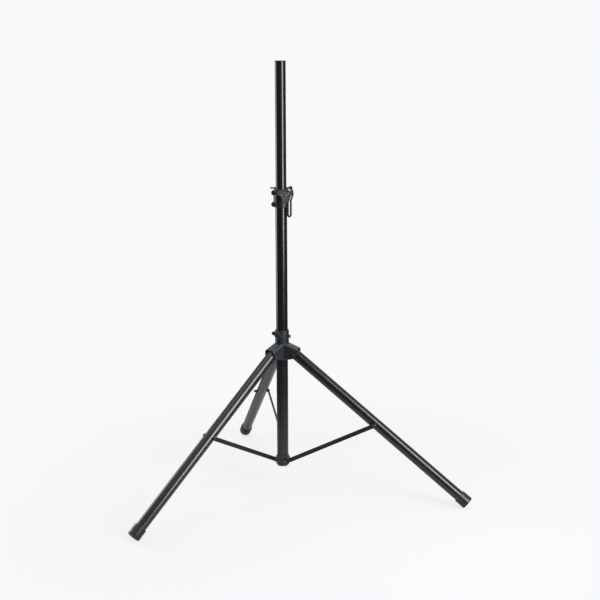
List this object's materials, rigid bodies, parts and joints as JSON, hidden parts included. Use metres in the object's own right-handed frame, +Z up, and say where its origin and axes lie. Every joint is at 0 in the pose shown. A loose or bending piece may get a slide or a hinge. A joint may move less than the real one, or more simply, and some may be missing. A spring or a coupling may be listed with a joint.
{
  "type": "tripod speaker stand",
  "caption": "Folding tripod loudspeaker stand with telescopic mast, screw clamp, lock pin, sliding hub, flat braces and rubber feet.",
  "frame": {"origin": "on the floor under the column axis, with the legs open", "axes": "+Z up along the column and mast; +Y towards the back leg; the clamp knob faces -Y"},
  "size_m": [1.1124, 0.969, 1.426],
  "materials": {
    "gloss_black_paint": "gloss black powder coat on steel tube",
    "moulded_black": "satin moulded nylon",
    "knob_black": "satin moulded nylon",
    "foot_rubber": "matt black rubber",
    "strap_paint": "semi-gloss black paint on flat steel",
    "black_fastener": "black zinc plate",
    "pin_steel": "black coated steel",
    "grip_rubber": "matt black moulded rubber",
    "nylon": "natural black nylon",
    "brass_insert": "plain turned brass",
    "zinc_screw": "zinc plated steel",
    "brake_pad": "hard rubber"
  },
  "bodies": {
    "column": {"outer_tube": "gloss_black_paint", "column_plug": "moulded_black", "base_bracket": "moulded_black", "base_rivets": "black_fastener", "clamp_housing": "moulded_black", "clamp_liner": "nylon", "clamp_insert": "brass_insert", "clamp_bolts": "black_fastener", "clamp_nuts": "black_fastener"},
    "mast": {"inner_tube": "gloss_black_paint", "mast_cap": "moulded_black", "mast_bush": "nylon"},
    "clamp_shoe": {"clamp_pad": "brake_pad"},
    "clamp_handle": {"clamp_screw": "zinc_screw", "clamp_knob": "knob_black"},
    "safety_pin": {"lock_pin": "pin_steel", "pin_grip": "grip_rubber"},
    "hub": {"hub_body": "moulded_black", "hub_liner": "nylon", "hub_side_screw": "black_fastener", "hub_hinge_bolts": "black_fastener", "hub_hinge_nuts": "black_fastener", "hub_insert": "brass_insert"},
    "hub_shoe": {"hub_pad": "brake_pad"},
    "hub_handle": {"hub_lock_screw": "zinc_screw", "hub_lock_wing": "knob_black"},
    "leg_back": {"back_leg_tube": "gloss_black_paint", "back_leg_plug": "nylon", "back_foot_cap": "foot_rubber", "back_brace_stud": "black_fastener", "back_brace_spacer": "moulded_black", "back_brace_nut": "moulded_black"},
    "brace_back": {"back_brace_strap": "strap_paint", "back_brace_rivet": "black_fastener"},
    "leg_left": {"left_leg_tube": "gloss_black_paint", "left_leg_plug": "nylon", "left_foot_cap": "foot_rubber", "left_brace_stud": "black_fastener", "left_brace_spacer": "moulded_black", "left_brace_nut": "moulded_black"},
    "brace_left": {"left_brace_strap": "strap_paint", "left_brace_rivet": "black_fastener"},
    "leg_right": {"right_leg_tube": "gloss_black_paint", "right_leg_plug": "nylon", "right_foot_cap": "foot_rubber", "right_brace_stud": "black_fastener", "right_brace_spacer": "moulded_black", "right_brace_nut": "moulded_black"},
    "brace_right": {"right_brace_strap": "strap_paint", "right_brace_rivet": "black_fastener"}
  },
  "joints": [
    {"name": "mast_slide", "type": "slide", "parent": "column", "child": "mast", "axis": [0, 0, 1], "range_m": [0, 0.4]},
    {"name": "pin_pull", "type": "slide", "parent": "mast", "child": "safety_pin", "axis": [0.9703, -0.2419, 0], "range_m": [0, 0.05]},
    {"name": "clamp_shoe_slide", "type": "slide", "parent": "column", "child": "clamp_shoe", "axis": [0, -1, 0], "range_m": [0, 0.00251]},
    {"name": "clamp_turn", "type": "hinge", "parent": "clamp_shoe", "child": "clamp_handle", "pos_m": [0, -0.045, 1.004], "axis": [0, -1, 0], "range_deg": [0, 720]},
    {"name": "hub_slide", "type": "slide", "parent": "column", "child": "hub", "axis": [0, 0, 1], "range_m": [0, 0.31666]},
    {"name": "hub_shoe_slide", "type": "slide", "parent": "hub", "child": "hub_shoe", "axis": [-0.6428, -0.766, 0], "range_m": [0, 0.00151]},
    {"name": "hub_turn", "type": "hinge", "parent": "hub_shoe", "child": "hub_handle", "pos_m": [-0.0225, -0.02681, 0.54649], "axis": [-0.6428, -0.766, 0], "range_deg": [0, 540]},
    {"name": "leg_back_fold", "type": "hinge", "parent": "hub", "child": "leg_back", "pos_m": [0, 0.04601, 0.47649], "axis": [-1, 0, 0], "range_deg": [0, 51.55]},
    {"name": "brace_back_fold", "type": "hinge", "parent": "column", "child": "brace_back", "pos_m": [0, 0.015, 0.10808], "axis": [1, 0, 0], "range_deg": [0, 58.15]},
    {"name": "leg_left_fold", "type": "hinge", "parent": "hub", "child": "leg_left", "pos_m": [-0.03985, -0.02301, 0.47649], "axis": [0.5, -0.866, 0], "range_deg": [0, 51.55]},
    {"name": "brace_left_fold", "type": "hinge", "parent": "column", "child": "brace_left", "pos_m": [-0.01299, -0.0075, 0.10808], "axis": [-0.5, 0.866, 0], "range_deg": [0, 58.15]},
    {"name": "leg_right_fold", "type": "hinge", "parent": "hub", "child": "leg_right", "pos_m": [0.03985, -0.02301, 0.47649], "axis": [0.5, 0.866, 0], "range_deg": [0, 51.55]},
    {"name": "brace_right_fold", "type": "hinge", "parent": "column", "child": "brace_right", "pos_m": [0.01299, -0.0075, 0.10808], "axis": [-0.5, -0.866, 0], "range_deg": [0, 58.15]}
  ],
  "couplings": [
    {"joint": "clamp_shoe_slide", "follows": "clamp_turn", "m_per_rad": 0.00019894},
    {"joint": "hub_shoe_slide", "follows": "hub_turn", "m_per_rad": 0.00015915},
    {"joint": "leg_back_fold", "follows": "hub_slide", "rad_per_m": 2.8385},
    {"joint": "brace_back_fold", "follows": "hub_slide", "rad_per_m": 3.202},
    {"joint": "leg_left_fold", "follows": "hub_slide", "rad_per_m": 2.8385},
    {"joint": "brace_left_fold", "follows": "hub_slide", "rad_per_m": 3.202},
    {"joint": "leg_right_fold", "follows": "hub_slide", "rad_per_m": 2.8385},
    {"joint": "brace_right_fold", "follows": "hub_slide", "rad_per_m": 3.202}
  ]
}
